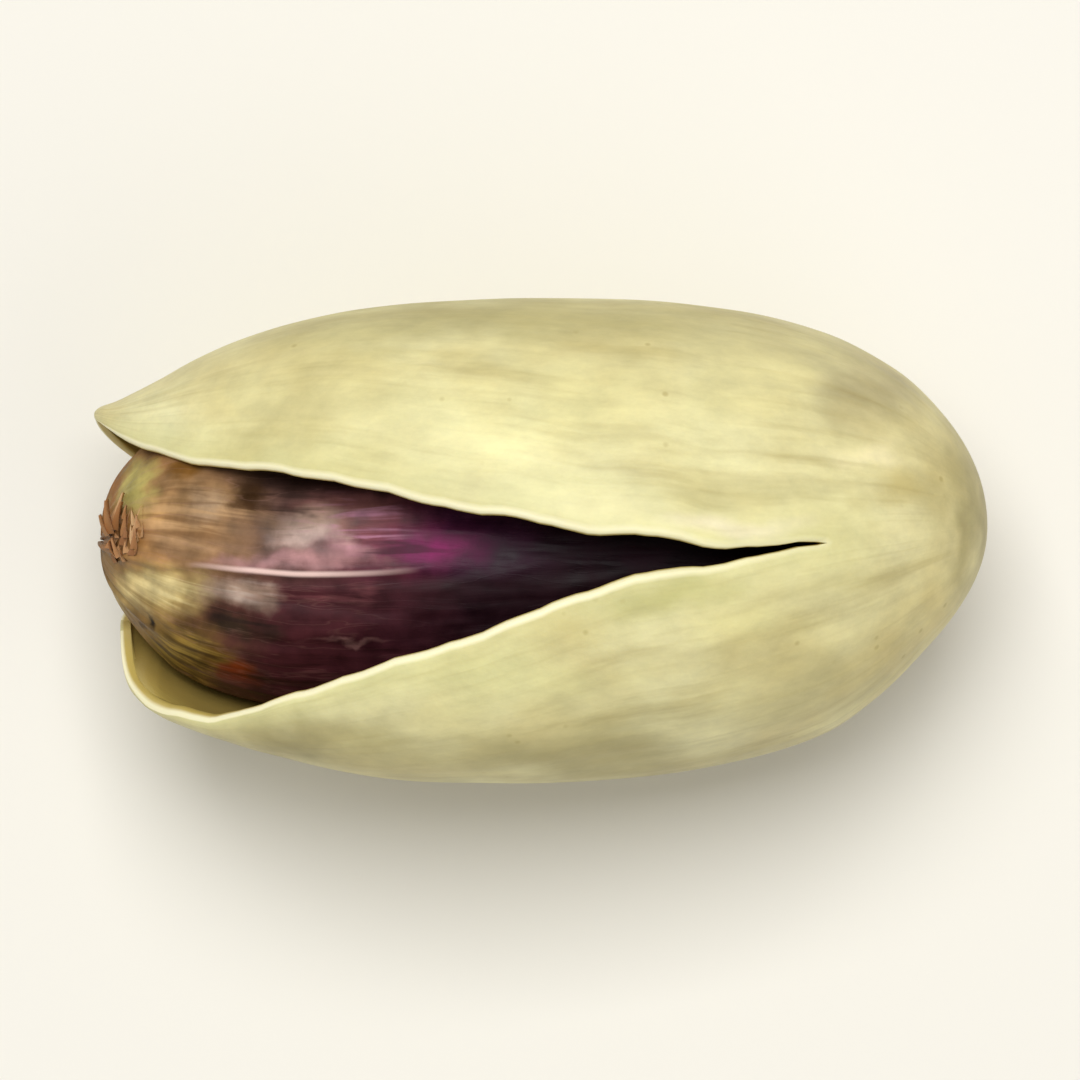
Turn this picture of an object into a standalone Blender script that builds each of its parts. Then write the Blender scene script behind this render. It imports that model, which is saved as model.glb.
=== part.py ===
"""A pistachio in its split shell, lying on its back with the split facing up.

The shell grew as one piece: two valves that stay joined at the stem end and have sprung open from
the tip. The kernel lies loose inside. Lengths are in metres. +Z is up, +X points to the stem end,
and the origin is the middle of the underside of the nut's bounding box.
"""

import math
from collections import namedtuple

import bmesh
import bpy
from mathutils import Matrix, Vector

# The closed shell, before its valves spring open
SHELL_LENGTH = 0.0205
SHELL_HALF_HEIGHT = 0.0059
SHELL_WALL = 0.0008
KEEL_HEIGHT = 0.00012
KEEL_SPREAD = 0.22  # radians around the long axis, on each side of a suture

# Fullness of an outline at its stem end and at its tip: smaller numbers are fuller
HEIGHT_FULLNESS = (0.50, 0.62)
KERNEL_WIDTH_FULLNESS = (0.44, 0.40)
KERNEL_UPPER_FULLNESS = (0.46, 0.42)
KERNEL_LOWER_FULLNESS = (0.42, 0.52)

# Rings and segments of the lofted surfaces. The split ends on a ring.
SHELL_RINGS = 28
SHELL_SEGMENTS = 40
SPLIT_RING_TOP = 8
SPLIT_RING_BOTTOM = 17
HAIRLINE = 0.00006  # half the width of the crack where it is still closed

# A valve: its half of the closed shell's width, how far its upper and its lower edge have swung out
# at the tip, the share of the length from the stem end where the swing starts, how far the very tip
# curls out, and how much shorter the valve is than the shell
Valve = namedtuple("Valve", "half_width fullness upper_swing lower_swing swing_start curl shorter")
FAR_VALVE = Valve(0.0055, (0.50, 0.78), 0.0027, 0.0012, 0.33, 0.0010, 0.0)
NEAR_VALVE = Valve(0.0050, (0.54, 0.93), 0.0058, 0.0012, 0.30, 0.0, 0.0006)
SWING_EASE = 1.2  # above 1, so a valve leaves the crack line smoothly
CURL_LENGTH = 0.05  # share of the shell's length

# The corky scar where the stem was: a flat cut across the stem end, facing a little downwards
SCAR_TILT = math.radians(28)
SCAR_DEPTH = 0.00028

# How the nut lies: rolled a little towards the near valve, with its tip a little down
LIE = Matrix.Rotation(math.radians(4), 3, "X") @ Matrix.Rotation(math.radians(-2.5), 3, "Y")
REST_FLAT_DEPTH = 0.00045

# The kernel
KERNEL_LENGTH = 0.0168
KERNEL_HALF_WIDTH = 0.00335
KERNEL_UPPER_HEIGHT = 0.0037
KERNEL_LOWER_HEIGHT = 0.0033
KERNEL_RINGS = 20
KERNEL_SEGMENTS = 28
KERNEL_LEAN = Matrix.Rotation(math.radians(4), 3, "Y")  # its tip end leans up and out of the split
KERNEL_CENTRE = Vector((-0.0017, -0.0005, 0.00045))

SHELL_COLOUR = (0.78, 0.72, 0.43)
SHELL_ROUGHNESS = 0.55
KERNEL_COLOUR = (0.20, 0.07, 0.08)
KERNEL_ROUGHNESS = 0.4


def outline(share, fullness):
    """Half the width there, as a share of the greatest, at a share of the length from the stem end."""
    stem, tip = fullness
    widest = stem / (stem + tip)
    greatest = widest**stem * (1 - widest) ** tip
    return share**stem * (1 - share) ** tip / greatest


def material(name, colour, roughness):
    """A new material of one plain colour."""
    made = bpy.data.materials.new(name)
    made.use_nodes = True
    shader = made.node_tree.nodes["Principled BSDF"]
    shader.inputs["Base Color"].default_value = (*colour, 1.0)
    shader.inputs["Roughness"].default_value = roughness
    shader.inputs["Metallic"].default_value = 0.0
    return made


def lengthwise_sphere(segments, rings):
    """A unit UV sphere with its poles on the X axis."""
    sphere = bmesh.new()
    bmesh.ops.create_uvsphere(sphere, u_segments=segments, v_segments=rings, radius=1.0)
    bmesh.ops.rotate(sphere, verts=sphere.verts, matrix=Matrix.Rotation(math.radians(90), 3, "Y"))
    return sphere


def share_from_stem(unit_point):
    """The share of the length from the stem end at which a point of the unit sphere lies."""
    return min(max((1 - unit_point.x) / 2, 0.0), 1.0)


def angle_from_top(unit_point):
    """The angle around the long axis, from the top suture towards +Y."""
    return math.atan2(unit_point.y, unit_point.z)


def closed_shell_point(unit_point):
    """Where a point of the unit sphere lies on the closed shell."""
    share = share_from_stem(unit_point)
    angle = angle_from_top(unit_point)
    valve = FAR_VALVE if unit_point.y > 0 else NEAR_VALVE
    keel = KEEL_HEIGHT * (
        math.exp(-((angle / KEEL_SPREAD) ** 2))
        + math.exp(-(((math.pi - abs(angle)) / KEEL_SPREAD) ** 2))
    )
    half_width = valve.half_width * outline(share, valve.fullness)
    half_height = (SHELL_HALF_HEIGHT + keel) * outline(share, HEIGHT_FULLNESS)
    return Vector((
        SHELL_LENGTH * (0.5 - share),
        half_width * math.sin(angle),
        half_height * math.cos(angle),
    ))


def swung_out(point, share, valve, side):
    """A point of the closed shell once its valve has sprung open, towards +Y or -Y as side says."""
    opened = max(0.0, (share - valve.swing_start) / (1 - valve.swing_start)) ** SWING_EASE
    height = min(max(0.5 + point.z / (2 * SHELL_HALF_HEIGHT), 0.0), 1.0)
    shift = opened * (valve.upper_swing * height + valve.lower_swing * (1 - height))
    shift += valve.curl * math.exp((share - 1) / CURL_LENGTH)
    lean = math.atan(shift / SHELL_LENGTH)
    across = abs(point.y)
    return Vector((
        point.x + across * math.sin(lean) + valve.shorter * opened**2,
        side * (across * math.cos(lean) + shift + HAIRLINE),
        point.z,
    ))


def is_on_split(vertex):
    """Whether a vertex of the unit sphere lies on the top split or on the shorter bottom one."""
    end_ring = SPLIT_RING_TOP if vertex.co.z > 0 else SPLIT_RING_BOTTOM
    end = math.cos(math.pi * end_ring / SHELL_RINGS)
    return abs(vertex.co.y) < 1e-4 and vertex.co.x < end + 1e-4


def split_along_sutures(sphere):
    """Cuts the sphere open from its tip, along the top and the bottom meridian."""
    cut = [edge for edge in sphere.edges if all(is_on_split(vertex) for vertex in edge.verts)]
    bmesh.ops.split_edges(sphere, edges=cut)


def side_of(vertex):
    """+1 for a vertex of the far valve, -1 for the near one, 0 for one that both share."""
    sides = {1 if face.calc_center_median().y > 0 else -1 for face in vertex.link_faces}
    return sides.pop() if len(sides) == 1 else 0


def flatten(vertices, outwards, depth):
    """Presses the part that stands out furthest in a direction flat, by a depth."""
    level = max(vertex.co.dot(outwards) for vertex in vertices) - depth
    for vertex in vertices:
        vertex.co -= outwards * max(0.0, vertex.co.dot(outwards) - level)


def shell_surface():
    """The outside of the split shell, as an open surface, and each vertex's share of the length."""
    surface = lengthwise_sphere(SHELL_SEGMENTS, SHELL_RINGS)
    split_along_sutures(surface)
    sides = [side_of(vertex) for vertex in surface.verts]
    shares = [share_from_stem(vertex.co) for vertex in surface.verts]
    for vertex, side, share in zip(surface.verts, sides, shares):
        valve = FAR_VALVE if side > 0 else NEAR_VALVE
        vertex.co = closed_shell_point(vertex.co)
        if side and (vertex.is_boundary or share > valve.swing_start):
            vertex.co = swung_out(vertex.co, share, valve, side)
    flatten(surface.verts, Vector((math.cos(SCAR_TILT), 0, -math.sin(SCAR_TILT))), SCAR_DEPTH)
    bmesh.ops.rotate(surface, verts=surface.verts, matrix=LIE)
    flatten(surface.verts, Vector((0, 0, -1)), REST_FLAT_DEPTH)
    return surface, shares


def wall_share(share):
    """The wall's thickness as a share of the full one: less where the narrow tip leaves no room."""
    room = NEAR_VALVE.half_width * outline(share, NEAR_VALVE.fullness)
    return min(1.0, 0.10 + 0.36 * room / SHELL_WALL) if share > 0.5 else 1.0


def make_shell(collection):
    """The split shell, with a wall that thins out towards the tips of its valves."""
    surface, shares = shell_surface()
    mesh = bpy.data.meshes.new("shell")
    surface.to_mesh(mesh)
    surface.free()
    mesh.shade_smooth()
    shell = bpy.data.objects.new("shell", mesh)
    collection.objects.link(shell)
    mesh.materials.append(material("pistachio_shell", SHELL_COLOUR, SHELL_ROUGHNESS))
    thickness = shell.vertex_groups.new(name="wall")
    for index, share in enumerate(shares):
        thickness.add([index], wall_share(share), "REPLACE")
    wall = shell.modifiers.new("wall", "SOLIDIFY")
    wall.thickness = SHELL_WALL
    wall.offset = -1
    wall.vertex_group = thickness.name
    return shell


def kernel_point(unit_point):
    """Where a point of the unit sphere lies on the kernel, about its own middle."""
    share = share_from_stem(unit_point)
    angle = angle_from_top(unit_point)
    if unit_point.z > 0:
        height = KERNEL_UPPER_HEIGHT * outline(share, KERNEL_UPPER_FULLNESS)
    else:
        height = KERNEL_LOWER_HEIGHT * outline(share, KERNEL_LOWER_FULLNESS)
    return Vector((
        KERNEL_LENGTH * (0.5 - share),
        KERNEL_HALF_WIDTH * outline(share, KERNEL_WIDTH_FULLNESS) * math.sin(angle),
        height * math.cos(angle),
    ))


def make_kernel(collection):
    """The loose kernel, whose tip end shows in the split."""
    body = lengthwise_sphere(KERNEL_SEGMENTS, KERNEL_RINGS)
    for vertex in body.verts:
        vertex.co = LIE @ (KERNEL_LEAN @ kernel_point(vertex.co) + KERNEL_CENTRE)
    mesh = bpy.data.meshes.new("kernel")
    body.to_mesh(mesh)
    body.free()
    mesh.shade_smooth()
    kernel = bpy.data.objects.new("kernel", mesh)
    collection.objects.link(kernel)
    mesh.materials.append(material("pistachio_kernel_skin", KERNEL_COLOUR, KERNEL_ROUGHNESS))
    return kernel


def bounds(objects):
    """The lowest and highest corners of the objects, modifiers included."""
    bpy.context.view_layer.update()
    graph = bpy.context.evaluated_depsgraph_get()
    points = []
    for item in objects:
        evaluated = item.evaluated_get(graph)
        mesh = evaluated.to_mesh()
        points += [evaluated.matrix_world @ vertex.co for vertex in mesh.vertices]
        evaluated.to_mesh_clear()
    low = Vector([min(point[axis] for point in points) for axis in range(3)])
    high = Vector([max(point[axis] for point in points) for axis in range(3)])
    return low, high


def main():
    for item in list(bpy.data.objects):
        bpy.data.objects.remove(item)
    nut = bpy.data.collections.new("pistachio_in_shell")
    bpy.context.scene.collection.children.link(nut)
    pieces = [make_shell(nut), make_kernel(nut)]
    low, high = bounds(pieces)
    underside = Vector(((low.x + high.x) / 2, (low.y + high.y) / 2, low.z))
    for piece in pieces:
        piece.location -= underside


main()
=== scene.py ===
"""A pistachio in its split shell: hard pale shell, papery purple-skinned kernel, studio stage.

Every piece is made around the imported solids, which give the sizes and places. Lengths are in
metres unless a name says mm. +X points to the stem end, +Y to the far valve and +Z up.
"""

import math
from functools import partial

import bmesh
import bpy
import numpy as np
from mathutils import Matrix, Vector


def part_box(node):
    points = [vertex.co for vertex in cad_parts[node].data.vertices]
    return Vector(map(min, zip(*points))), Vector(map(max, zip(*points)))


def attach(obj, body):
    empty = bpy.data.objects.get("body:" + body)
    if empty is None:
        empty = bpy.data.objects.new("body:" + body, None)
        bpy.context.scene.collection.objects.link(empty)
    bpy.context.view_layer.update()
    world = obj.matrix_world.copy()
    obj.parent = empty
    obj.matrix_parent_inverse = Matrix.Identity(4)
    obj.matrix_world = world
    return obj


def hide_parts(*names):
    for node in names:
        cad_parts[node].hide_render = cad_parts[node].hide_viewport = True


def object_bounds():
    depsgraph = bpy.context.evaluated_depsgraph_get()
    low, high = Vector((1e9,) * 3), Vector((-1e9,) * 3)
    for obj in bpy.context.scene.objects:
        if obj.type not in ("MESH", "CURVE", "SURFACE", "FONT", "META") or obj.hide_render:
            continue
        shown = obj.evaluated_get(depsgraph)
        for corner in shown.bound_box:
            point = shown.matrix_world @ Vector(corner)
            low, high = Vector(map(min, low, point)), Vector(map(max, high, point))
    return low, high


bl_info = {
    "name": "Pistachio in Shell", "version": (1, 0, 0), "blender": (4, 5, 0),
    "location": "View3D > Sidebar > Pistachio",
    "description": "Builds a split pistachio with its kernel, and a plain stage for it",
    "category": "Object",
}

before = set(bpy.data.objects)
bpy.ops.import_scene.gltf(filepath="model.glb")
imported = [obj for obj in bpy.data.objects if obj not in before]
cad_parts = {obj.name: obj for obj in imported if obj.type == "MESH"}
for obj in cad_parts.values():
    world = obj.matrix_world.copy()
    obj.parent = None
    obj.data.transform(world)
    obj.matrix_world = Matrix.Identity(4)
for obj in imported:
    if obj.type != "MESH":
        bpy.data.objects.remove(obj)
CAD_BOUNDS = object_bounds()
SHELL_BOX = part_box("shell")
KERNEL_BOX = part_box("kernel")

# The Scale of a noise in millimetres is its waves in one of them, over MM
MM = 0.001
SHELL_LENGTH_MM = (SHELL_BOX[1].x - SHELL_BOX[0].x) / MM
NODE_PREFIXES = ("ShaderNode", "GeometryNode", "FunctionNode", "")
# The setting that a second word in a node's kind gives, whichever of these the node has first
MODES = ("operation", "interpolation_type", "data_type")
SOCKETS = {float: "NodeSocketFloat", int: "NodeSocketInt", tuple: "NodeSocketVector"}
# On the shell: 0 outside to 1 inside, 1 in the scar, and millimetres from the split
SHELL_ATTRIBUTES = ("depth", "scar", "from_split")

# The loft of the shell: rings from the stem end to the tip, and segments around. Each split ends
# on a ring.
RINGS = 120
SEGMENTS = 256
TOP_SPLIT_RING = 33
BOTTOM_SPLIT_RING = 73
TOP_SPLIT, BOTTOM_SPLIT = (
    (1 - math.cos(math.pi * ring / RINGS)) / 2 for ring in (TOP_SPLIT_RING, BOTTOM_SPLIT_RING)
)
LIP_ROWS = 5
LIP_ROUNDNESS = 0.8
TIP_LIP_MM = 0.34
# How far a lip swells into the split: at most this, this share of the gap, and less at the tip
LIP_SWELL_MM = 0.12
LIP_SWELL_OF_GAP, LIP_SWELL_FADE = 0.2, 0.04
SMOOTHING_ROUNDS = 40
POLE, TOUCH = 1e-6, 1e-5  # what counts as at an end, and as on the split, on the unit sphere
# The wall is whole this far from the split. At a valve's very tip it starts from a fine edge.
WALL_BLEND_MM = 1.8
TIP_EDGE_MM = 0.08
TIP_SLOPE = 0.45
# Spans of the length over which the lip and the wall thin towards the tip, and over which the
# inner face is smoothed along the rings and then all round
THIN_LIP, THIN_WALL = (0.78, 0.92), (0.74, 0.9)
SMOOTH_RINGS, SMOOTH_TIP = (0.82, 0.93), (0.9, 0.98)
# How deep the scar and the rest face are pressed in, and how soft their rims are, in millimetres
SCAR_PRESS, REST_PRESS = (0.30, 0.02), (0.42, 0.06)
SCAR_RIM_MM = (0.02, 0.2)

# How the nut lies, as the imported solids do: the tip a little up
LIE = np.array(Matrix.Rotation(math.radians(-2.5), 3, "Y"))
SCAR_FACING = Vector((math.cos(math.radians(28)), 0.0, -math.sin(math.radians(28))))

# Outlines: (share of the length from the stem end, millimetres). The bulge is a valve's
# greatest reach from the suture plane, and a gap is how far its edge stands off that plane.
FAR_BULGE = (
    (0, 0), (0.049, 2.6), (0.104, 3.8), (0.18, 4.72), (0.29, 5.28), (0.4, 5.49), (0.51, 5.55),
    (0.62, 5.46), (0.7, 5.28), (0.772, 4.97), (0.838, 4.54), (0.882, 4.13), (0.924, 3.65),
    (0.953, 3.36), (0.975, 3.16), (0.992, 3.05), (1, 2.88),
)
NEAR_BULGE = (
    (0, 0), (0.049, 2.3), (0.071, 2.75), (0.126, 3.75), (0.18, 4.45), (0.29, 5.1), (0.4, 5.42),
    (0.51, 5.55), (0.62, 5.5), (0.71, 5.3), (0.79, 4.96), (0.86, 4.58), (0.91, 4.26),
    (0.945, 4.0), (0.97, 3.7), (0.986, 3.36), (0.9955, 2.86), (1, 1.9),
)
FAR_TOP_GAP = (
    (0, 0), (0.1, -0.05), (0.165, -0.1), (0.19, -0.09), (0.24, -0.12), (0.29, -0.17),
    (0.32, -0.12), (0.345, 0.0), (0.366, 0.08), (0.44, 0.16), (0.51, 0.45), (0.564, 0.63),
    (0.62, 0.84), (0.674, 1.11), (0.728, 1.36), (0.785, 1.5), (0.84, 1.6), (0.891, 1.8),
    (0.935, 2.04), (0.959, 2.22), (0.979, 2.46), (0.993, 2.7), (1, 2.88),
)
NEAR_TOP_GAP = (
    (0, 0), (0.1, 0.05), (0.165, 0.1), (0.19, 0.17), (0.235, 0.28), (0.288, 0.5), (0.32, 0.62),
    (0.366, 0.7), (0.41, 0.92), (0.4545, 1.24), (0.51, 1.7), (0.564, 2.08), (0.62, 2.46),
    (0.674, 2.8), (0.728, 3.12), (0.77, 3.4), (0.81, 3.66), (0.845, 3.85), (0.88, 3.94),
    (0.92, 3.88), (0.95, 3.77), (0.97, 3.57), (0.986, 3.25), (0.9955, 2.78), (1, 1.9),
)
FAR_BOTTOM_GAP = (
    (0, 0), (0.667, 0), (0.72, 0.1), (0.8, 0.42), (0.9, 1.05), (0.96, 1.8), (1, 2.88)
)
NEAR_BOTTOM_GAP = (
    (0, 0), (0.667, 0), (0.72, 0.1), (0.8, 0.42), (0.9, 0.95), (0.96, 1.3), (0.98, 1.42),
    (0.99, 1.52), (0.9965, 1.66), (1, 1.9),
)
HALF_HEIGHT_MM = 5.9
HEIGHT_FULLNESS = (0.50, 0.62)
KEEL_MM = 0.13
KEEL_WIDTH = 0.2  # radians
# The stem end's middle stands off to the far side, over this share of the length
STEM_BEND_MM, STEM_BEND_SPAN = 0.3, 0.12
# The near valve ends short of the far one, by more and more from where each split opens
NEAR_VALVE_SHORTER_MM = 0.62
TOP_OPENS, BOTTOM_OPENS = 0.3, 0.667
# The crack wanders beside the top meridian, within so many radians, and less at its closed end
CRACK_WANDER_MM, CRACK_WIDTH, CRACK_STARTS = 0.03, 0.3, (0.12, 0.24)

# Kernel outlines: (turn from the stem end, 0 to 1, share of the greatest half-width or height)
KERNEL_WIDTH = (
    (0, 0), (0.1, 0.38), (0.2, 0.65), (0.3, 0.82), (0.45, 0.96), (0.6, 1), (0.72, 0.96),
    (0.78, 0.88), (0.81, 0.79), (0.868, 0.58), (0.93, 0.34), (1, 0),
)
KERNEL_TOP = (
    (0, 0), (0.1, 0.36), (0.2, 0.64), (0.3, 0.82), (0.45, 0.96), (0.57, 1), (0.68, 0.97),
    (0.78, 0.86), (0.86, 0.66), (0.93, 0.36), (1, 0),
)

# How far to the near side the ridge runs: (share of the kernel's length, fifths of its half-width)
RIDGE_COURSE = (
    (0, 0), (0.5, 0), (0.57, 0.15), (0.636, 0.24), (0.705, 0.26), (0.757, 0.23), (0.8, 0.3),
    (0.856, 0.45), (0.92, 0.8), (1, 0.9),
)


def hex_colour(code):
    """An sRGB hex colour such as "#e6dca6" as linear red, green, blue and alpha."""
    parts = [int(code[i : i + 2], 16) / 255 for i in (1, 3, 5)]
    linear = [c / 12.92 if c <= 0.04045 else ((c + 0.055) / 1.055) ** 2.4 for c in parts]
    return (*linear, 1.0)


def colour_property(name, description, code):
    return bpy.props.FloatVectorProperty(
        name=name, description=description, subtype="COLOR", size=4,
        min=0.0, max=1.0, default=hex_colour(code),
    )


def length_property(name, description, default):
    return bpy.props.FloatProperty(
        name=name, description=description, default=default, min=0.0, unit="LENGTH", precision=6
    )


class ShellSettings(bpy.types.PropertyGroup):
    """Sizes and colours of the shell."""

    wall: length_property("Wall", "Thickness of the wall away from the split", 0.85 * MM)
    lip: length_property("Lip", "Thickness of the wall at the edge of the split", 0.36 * MM)
    rib_height: length_property("Rib height", "Height of the lengthwise ribs", 0.05 * MM)
    wave_height: length_property("Wave height", "Height of the broad unevenness", 0.16 * MM)
    cream: colour_property("Cream", "Main colour of the outside", "#ded59c")
    pale: colour_property("Pale", "Lightest patches of the outside", "#ebe5b2")
    tan: colour_property("Tan", "Warm patches, mostly near the stem end", "#ccba79")
    streak: colour_property("Streak", "Fine lengthwise fibre streaks", "#9e8d4d")
    green: colour_property("Green", "Tint beside the split", "#cfd088")
    edge: colour_property("Edge", "Freshly split edge", "#f6efc9")
    inside: colour_property("Inside", "Smooth inner face", "#bfa95a")
    cork: colour_property("Cork", "Corky scar where the stem was", "#cdb78a")


class KernelSettings(bpy.types.PropertyGroup):
    """Sizes and colours of the kernel."""

    vein_height: length_property("Vein height", "Height of the fine veins of the skin", 0.02 * MM)
    fold_height: length_property("Fold height", "Height of the lengthwise folds", 0.10 * MM)
    ridge_height: length_property("Ridge height", "Height of the pale ridge on top", 0.12 * MM)
    tuft_length: length_property("Tuft length", "Longest flake at the tip", 0.9 * MM)


class StageSettings(bpy.types.PropertyGroup):
    """The stage."""

    floor: colour_property("Floor", "Plain pale floor", "#e6e3db")
    lens: bpy.props.FloatProperty(
        name="Lens", description="Focal length of the camera", default=0.3 / MM, min=1.0,
        unit="CAMERA",
    )
    fill: bpy.props.FloatProperty(
        name="Fill", description="Share of the picture's width that the nut takes",
        default=0.84, min=0.1, max=1.0, subtype="FACTOR",
    )


def linear_colour(colour):
    """Linear red, green, blue and alpha of a hex colour, a shade of grey or a colour as it is."""
    if isinstance(colour, str):
        return hex_colour(colour)
    return (colour, colour, colour, 1) if isinstance(colour, (int, float)) else colour


def add_node(tree, kind, inputs=(), out=0, stops=None, knots=None, **settings):
    """Adds a node with its settings and links, and returns one output, or the node if out is None.

    The kind is the node's type without its ShaderNode, GeometryNode or FunctionNode, and may
    have a mode after it, as in "Math ADD". The inputs are a tuple in their order or a dict. A
    socket among them is linked, and anything else is set, hex colours too. stops are a colour
    ramp's (position, colour) pairs, and knots a float curve's points.
    """
    kind, _, mode = kind.partition(" ")
    prefix = next(start for start in NODE_PREFIXES if hasattr(bpy.types, start + kind))
    node = tree.nodes.new(prefix + kind)
    if mode:
        setattr(node, next(name for name in MODES if hasattr(node, name)), mode)
    for name, value in settings.items():
        setattr(node, name, value)
    for key, value in inputs.items() if isinstance(inputs, dict) else enumerate(inputs):
        if isinstance(value, bpy.types.NodeSocket):
            tree.links.new(value, node.inputs[key])
        elif isinstance(value, str) and value.startswith("#"):
            node.inputs[key].default_value = hex_colour(value)
        else:
            node.inputs[key].default_value = value
    if stops:
        elements = node.color_ramp.elements
        while len(elements) < len(stops):
            elements.new(0.5)
        for element, (position, colour) in zip(elements, stops):
            element.position = position
            element.color = linear_colour(colour)
    if knots:
        points = node.mapping.curves[0].points
        while len(points) < len(knots):
            points.new(0.5, 0.5)
        for point, place in zip(points, knots):
            point.location = place
        node.mapping.update()
    return node if out is None else node.outputs[out]


def new_material(name):
    """A material with an empty node tree, and the function that adds a node to it."""
    material = bpy.data.materials.new(name)
    material.use_nodes = True
    material.node_tree.nodes.clear()
    return material, partial(add_node, material.node_tree)


def new_tree(name, inputs):
    """A geometry node tree, the function that adds a node to it, and its named inputs.

    inputs gives the default of each, and a material comes last.
    """
    tree = bpy.data.node_groups.new(name, "GeometryNodeTree")
    add = partial(add_node, tree)
    tree.interface.new_socket("Geometry", in_out="INPUT", socket_type="NodeSocketGeometry")
    tree.interface.new_socket("Geometry", in_out="OUTPUT", socket_type="NodeSocketGeometry")
    for label, default in inputs.items():
        kind = SOCKETS[type(default)]
        tree.interface.new_socket(label, in_out="INPUT", socket_type=kind).default_value = default
    tree.interface.new_socket("Material", in_out="INPUT", socket_type="NodeSocketMaterial")
    return tree, add, add("NodeGroupInput", out=None).outputs


def close_tree(add, geometry, material):
    """Ends a geometry node tree: real geometry, smooth, with its material."""
    real = add("RealizeInstances", (geometry,))
    smooth = add("SetShadeSmooth", (real,))
    done = add("SetMaterial", {"Geometry": smooth, "Material": material})
    add("NodeGroupOutput", (done,), out=None)


def spot(add, place, middle, pace, edge, value):
    """The value in a soft-edged spot about the middle, and 0 outside it.

    pace stretches the distance from the middle on each axis, and edge is where it fades.
    """
    gone = add("VectorMath SUBTRACT", (place, middle))
    gone = add("VectorMath MULTIPLY", (gone, pace))
    gone = add("VectorMath LENGTH", (gone,), out="Value")
    return add("MapRange SMOOTHSTEP", (gone, *edge, value, 0.0))


def drawn_out(add, lay, pace, **pattern):
    """A noise on the lay of a surface, drawn out lengthwise, with so many waves on each axis."""
    run = add("VectorMath MULTIPLY", (lay, pace))
    return add("TexNoise", {"Vector": run, "Scale": 1.0, **pattern})


def wandering(add, place, scale, detail, reach):
    """The place shifted by a noise, so that borders laid on it wander by up to half the reach."""
    drift = add("TexNoise", {"Vector": place, "Scale": scale, "Detail": detail}, out="Color")
    drift = add("VectorMath SUBTRACT", (drift, (0.5, 0.5, 0.5)))
    drift = add("VectorMath MULTIPLY", (drift, reach))
    return add("VectorMath ADD", (place, drift))


def patched(add, colour, place, patches, mask, soft=(0.3, 1.15)):
    """The colour with soft patches laid on it, wherever the mask is 1."""
    for x, y, reach_x, reach_y, code, strength in patches:
        middle, pace = (x * MM, y * MM, 0.0), (1 / (reach_x * MM), 1 / (reach_y * MM), 0.0)
        patch = spot(add, place, middle, pace, soft, strength)
        patch = add("Math MULTIPLY", (patch, mask))
        colour = add("Mix RGBA", {0: patch, 6: colour, 7: code}, out=2)
    return colour


def grown(piece, tree, values):
    """The piece as a plain mesh, once a geometry node tree has run on it with these values."""
    modifier = piece.modifiers.new(tree.name, "NODES")
    modifier.node_group = tree
    for item in tree.interface.items_tree:
        if item.in_out == "INPUT" and item.name in values:
            modifier[item.identifier] = values[item.name]
    bpy.context.view_layer.update()
    graph = bpy.context.evaluated_depsgraph_get()
    mesh = bpy.data.meshes.new_from_object(piece.evaluated_get(graph), depsgraph=graph)
    piece.modifiers.clear()
    piece.data = mesh
    return piece


def linked_object(name, data):
    piece = bpy.data.objects.new(name, data)
    bpy.context.scene.collection.objects.link(piece)
    return piece


def finish_piece(piece, node):
    """Lets a piece ride on the nut, and stand for a CAD node if one is given."""
    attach(piece, "root")
    if node:
        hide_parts(node)


# --- the shell's form ---


def through(knots, at):
    """A smooth curve through given knots (share, value), which never swings past them."""
    share, value = np.array(knots, float).T
    x = np.arccos(1 - 2 * share) / math.pi
    step = np.diff(x)
    rise = np.diff(value) / step
    slope = np.empty_like(value)
    slope[0], slope[-1] = rise[0], rise[-1]
    before, after = rise[:-1], rise[1:]
    weight_1, weight_2 = 2 * step[1:] + step[:-1], step[1:] + 2 * step[:-1]
    same_way = before * after > 0
    safe_before, safe_after = np.where(same_way, before, 1), np.where(same_way, after, 1)
    mean = (weight_1 + weight_2) / (weight_1 / safe_before + weight_2 / safe_after)
    slope[1:-1] = np.where(same_way, mean, 0)
    place = np.clip(np.arccos(np.clip(1 - 2 * at, -1, 1)) / math.pi, x[0], x[-1])
    i = np.clip(np.searchsorted(x, place) - 1, 0, len(step) - 1)
    t = (place - x[i]) / step[i]
    h = step[i]
    return (
        (2 * t**3 - 3 * t**2 + 1) * value[i] + (t**3 - 2 * t**2 + t) * h * slope[i]
        + (-2 * t**3 + 3 * t**2) * value[i + 1] + (t**3 - t**2) * h * slope[i + 1]
    )


def outline(share, fullness):
    """The height at a share of the length from the stem end, as a share of the greatest."""
    stem, tip = fullness
    widest = stem / (stem + tip)
    greatest = widest**stem * (1 - widest) ** tip
    return share**stem * (1 - share) ** tip / greatest


def smooth_step(low, high, value):
    t = np.clip((value - low) / (high - low), 0, 1)
    return t * t * (3 - 2 * t)


def side_of(vertex):
    """+1 for a vertex of the far valve, -1 for the near one, 0 for one that both share."""
    sides = {1 if face.calc_center_median().y > 0 else -1 for face in vertex.link_faces}
    return sides.pop() if len(sides) == 1 else 0


def put_in_order(elements, key):
    """Sorts a bmesh's vertices or edges, which a split leaves in no fixed order."""
    for index, element in enumerate(sorted(elements, key=key)):
        element.index = index
    elements.sort()
    elements.index_update()


def from_lowest(corners):
    """A face's corners, from its lowest vertex on."""
    start = corners.index(min(corners))
    return corners[start:] + corners[:start]


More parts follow.
